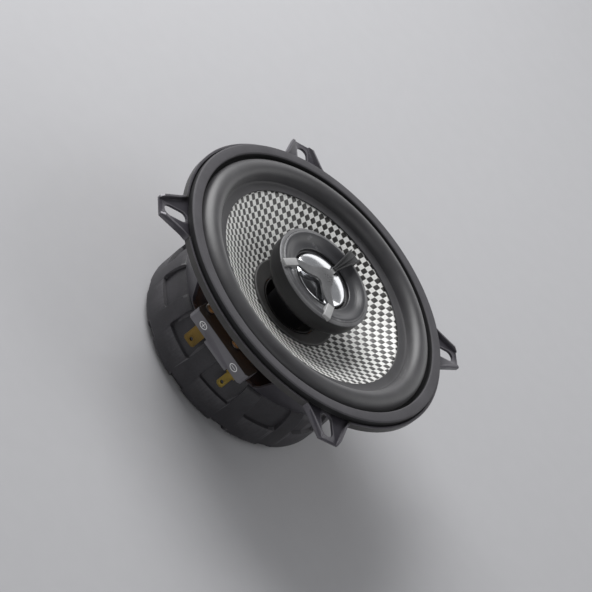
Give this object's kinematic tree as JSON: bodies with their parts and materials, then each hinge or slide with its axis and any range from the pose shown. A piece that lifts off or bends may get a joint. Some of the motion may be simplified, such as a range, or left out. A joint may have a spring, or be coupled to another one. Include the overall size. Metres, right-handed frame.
{
  "type": "coaxial car speaker",
  "caption": "Round two-way coaxial car speaker: pressed steel basket with mounting ears, woven cone, pole-mounted dome tweeter, rubber magnet boot and spade terminals.",
  "frame": {"origin": "middle of the flat back of the magnet boot", "axes": "+Z along the speaker's axis towards the listener; the terminal board faces -Y; the four ears lie on the diagonals"},
  "size_m": [0.1298, 0.1298, 0.061],
  "materials": {
    "basket_paint": "satin painted pressed steel",
    "gasket": "matte dark grey foam",
    "surround_rubber": "satin dark grey rubber",
    "woven_cone": "black and white plain woven glass fibre",
    "black_plastic": "satin black",
    "coil_former": "amber film",
    "copper": "enamelled copper wire",
    "spider_cloth": "brown waved cloth",
    "plated_steel": "zinc plated steel",
    "ferrite": "dark sintered ferrite",
    "boot_rubber": "satin black moulded rubber",
    "board_plastic": "satin grey moulded plastic",
    "spade_brass": "brass",
    "capacitor_sleeve": "dark blue shrink sleeve",
    "lead_insulation": "black insulation",
    "pod_plastic": "satin black moulded plastic",
    "dome_metal": "bright polished metal",
    "face_plastic": "satin dark grey"
  },
  "bodies": {
    "frame": {"basket": "basket_paint", "front_gasket": "gasket", "spider_ring": "black_plastic", "top_plate": "plated_steel", "ferrite_magnet": "ferrite", "back_plate_and_pole": "plated_steel", "magnet_boot": "boot_rubber", "plate_rivet_1": "plated_steel", "plate_rivet_2": "plated_steel", "plate_rivet_3": "plated_steel", "plate_rivet_4": "plated_steel", "terminal_board": "board_plastic", "positive_spade": "spade_brass", "negative_spade": "spade_brass", "board_rivet_1": "plated_steel", "board_rivet_2": "plated_steel", "crossover_capacitor": "capacitor_sleeve", "tweeter_lead_positive": "lead_insulation", "tweeter_lead_negative": "lead_insulation", "tweeter_post": "plated_steel", "tweeter_post_nut": "plated_steel", "tweeter_pod": "pod_plastic", "tweeter_cup": "plated_steel", "tweeter_magnet": "plated_steel", "tweeter_pole_plate": "plated_steel", "tweeter_face": "face_plastic", "tweeter_bridge": "face_plastic"},
    "cone_assembly": {"cone": "woven_cone", "neck_collar": "black_plastic", "voice_coil_former": "coil_former", "voice_coil_winding": "copper", "surround": "surround_rubber", "spider": "spider_cloth", "tinsel_lead_positive": "copper", "tinsel_lead_negative": "copper"},
    "tweeter_diaphragm": {"tweeter_dome": "dome_metal", "tweeter_coil": "copper", "dome_suspension": "surround_rubber"}
  },
  "joints": [
    {"name": "cone_travel", "type": "slide", "parent": "frame", "child": "cone_assembly", "axis": [0, 0, 1], "range_m": [-0.004, 0.004], "stiffness_N_per_m": 2000, "deforming": ["surround", "spider", "tinsel_lead_positive", "tinsel_lead_negative"]},
    {"name": "dome_travel", "type": "slide", "parent": "frame", "child": "tweeter_diaphragm", "axis": [0, 0, 1], "range_m": [-0.0003, 0.0003], "stiffness_N_per_m": 1000, "deforming": ["dome_suspension"]}
  ]
}
